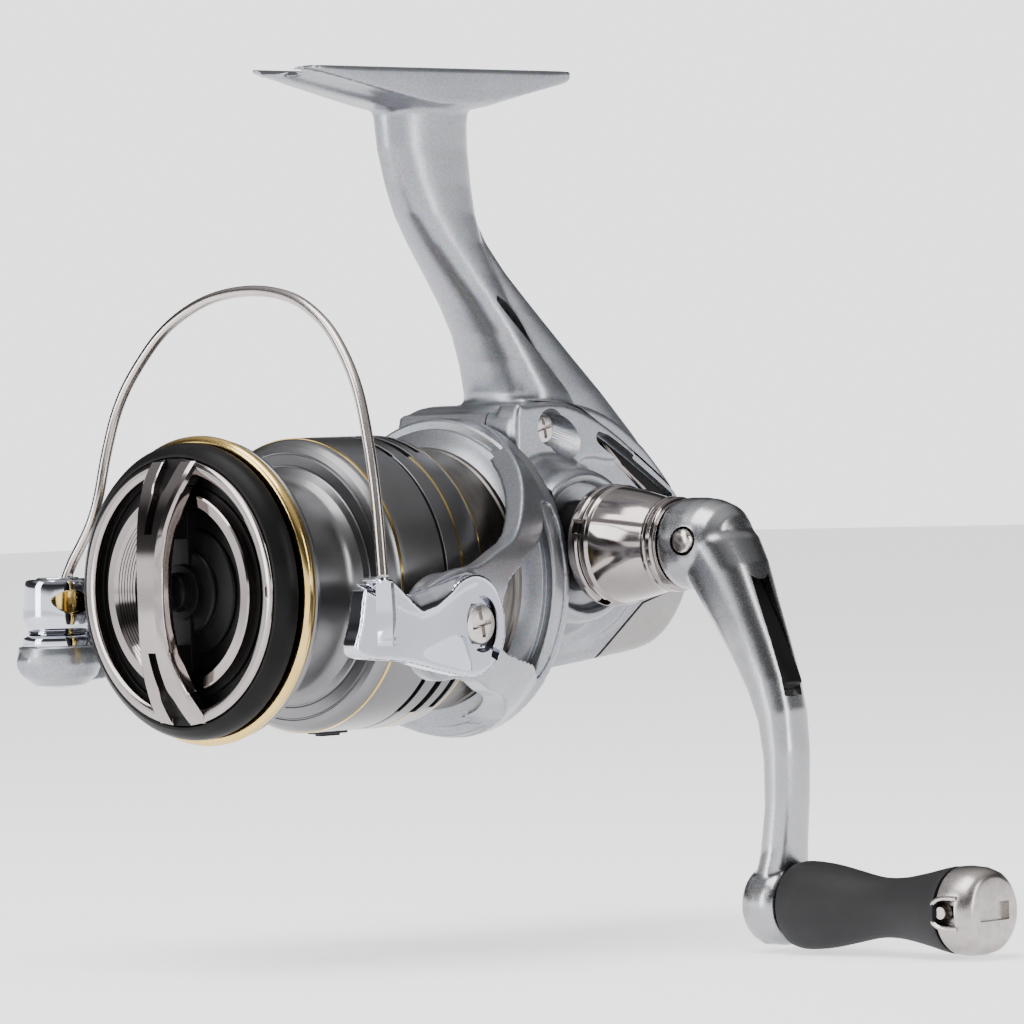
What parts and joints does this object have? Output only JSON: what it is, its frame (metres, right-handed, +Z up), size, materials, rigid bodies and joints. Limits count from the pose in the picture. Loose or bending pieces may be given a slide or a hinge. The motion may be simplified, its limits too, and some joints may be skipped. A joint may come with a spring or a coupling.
{
  "type": "spinning fishing reel",
  "caption": "Open-face spinning reel with a wire bail, stepped gold-lipped spool, front drag knob and a swept crank handle, hung from a saddle foot.",
  "frame": {"origin": "middle of the flat strip along the top of the foot, where a rod's reel seat presses", "axes": "+Z up out of the foot into the rod, -Y forwards to the spool's open end and along the rod to its tip, +X to the handle side"},
  "size_m": [0.1412, 0.115, 0.137],
  "materials": {
    "silver_paint": "satin metallic silver paint with a fine flake",
    "grey_paint": "satin warm grey paint",
    "spool_grey": "satin turned aluminium, anodised gunmetal",
    "gold": "bright gold anodising",
    "chrome": "polished",
    "smoked_chrome": "polished, smoked",
    "warm_steel": "satin",
    "steel": "machined",
    "brass": "machined",
    "black_plastic": "satin moulded",
    "rubber": "matte, moulded",
    "felt": "oiled carbon felt"
  },
  "bodies": {
    "body": {"frame": "silver_paint", "side_cover": "silver_paint", "rear_protector": "grey_paint", "stem_inlay_left": "black_plastic", "stem_inlay_right": "black_plastic", "cover_trim": "smoked_chrome", "cover_screw_1": "steel", "cover_screw_2": "steel", "cover_screw_3": "steel", "left_side_cap": "black_plastic", "handle_bearing_right": "steel", "handle_bearing_left": "steel", "pinion_bearing": "steel", "roller_clutch": "black_plastic"},
    "crank": {"drive_gear": "brass", "handle_shank": "steel", "handle_collar": "smoked_chrome", "collar_seal": "black_plastic", "handle_arm": "silver_paint", "handle_cross_pin": "steel", "arm_inlay": "black_plastic", "knob_spindle": "steel", "knob_screw": "steel"},
    "handle_knob": {"knob_grip": "rubber", "knob_end_cap": "warm_steel", "knob_bearing_inner": "steel", "knob_bearing_outer": "steel"},
    "rotor": {"rotor": "silver_paint", "pinion_gear": "brass", "rotor_nut": "steel", "bail_spring": "steel"},
    "bail": {"bail_cam": "chrome", "roller_lever": "silver_paint", "roller_cap": "chrome", "roller_pin": "steel", "bail_wire": "warm_steel", "bail_screw_right": "steel", "bail_screw_left": "steel"},
    "line_roller": {"line_roller": "gold", "roller_bush": "brass"},
    "main_shaft": {"main_shaft": "steel", "stroke_slider": "black_plastic", "spool_support_washer": "brass"},
    "spool": {"spool": "spool_grey", "spool_lip": "gold", "line_clip": "black_plastic", "drag_felt_1": "felt", "drag_disc_1": "steel", "drag_felt_2": "felt", "drag_disc_2": "steel", "drag_felt_3": "felt", "drag_retaining_ring": "steel"},
    "drag_knob": {"drag_knob": "black_plastic", "drag_ring": "smoked_chrome", "drag_inner_ring_left": "smoked_chrome", "drag_inner_ring_right": "smoked_chrome", "drag_grip_bar": "smoked_chrome", "drag_nut": "brass", "drag_spring": "steel"},
    "stroke_gear": {"stroke_gear": "brass"}
  },
  "joints": [
    {"name": "crank_spin", "type": "hinge", "parent": "body", "child": "crank", "pos_m": [0, 0.01684, -0.07376], "axis": [1, 0, 0], "continuous": true},
    {"name": "knob_spin", "type": "hinge", "parent": "crank", "child": "handle_knob", "pos_m": [0.08, 0.01684, -0.12876], "axis": [1, 0, 0], "continuous": true},
    {"name": "rotor_spin", "type": "hinge", "parent": "body", "child": "rotor", "pos_m": [0, -0.007, -0.0782], "axis": [0, 1, 0], "continuous": true},
    {"name": "stroke_gear_spin", "type": "hinge", "parent": "body", "child": "stroke_gear", "pos_m": [-0.006, 0.0343, -0.0737], "axis": [1, 0, 0], "continuous": true},
    {"name": "shaft_slide", "type": "slide", "parent": "body", "child": "main_shaft", "axis": [0, -1, 0], "range_m": [0, 0.012]},
    {"name": "spool_spin", "type": "hinge", "parent": "main_shaft", "child": "spool", "pos_m": [0, -0.027, -0.0782], "axis": [0, 1, 0], "continuous": true},
    {"name": "drag_knob_turn", "type": "hinge", "parent": "main_shaft", "child": "drag_knob", "pos_m": [0, -0.05, -0.0782], "axis": [0, 1, 0], "range_deg": [-540, 540]},
    {"name": "bail_flip", "type": "hinge", "parent": "rotor", "child": "bail", "pos_m": [0, -0.0238, -0.0843], "axis": [1, 0, 0], "range_deg": [0, 115]},
    {"name": "roller_spin", "type": "hinge", "parent": "bail", "child": "line_roller", "pos_m": [-0.034, -0.0446, -0.0803], "axis": [0, 0, 1], "continuous": true}
  ],
  "couplings": [
    {"joint": "rotor_spin", "follows": "crank_spin", "ratio": 5.3},
    {"joint": "stroke_gear_spin", "follows": "crank_spin", "ratio": -0.5}
  ]
}
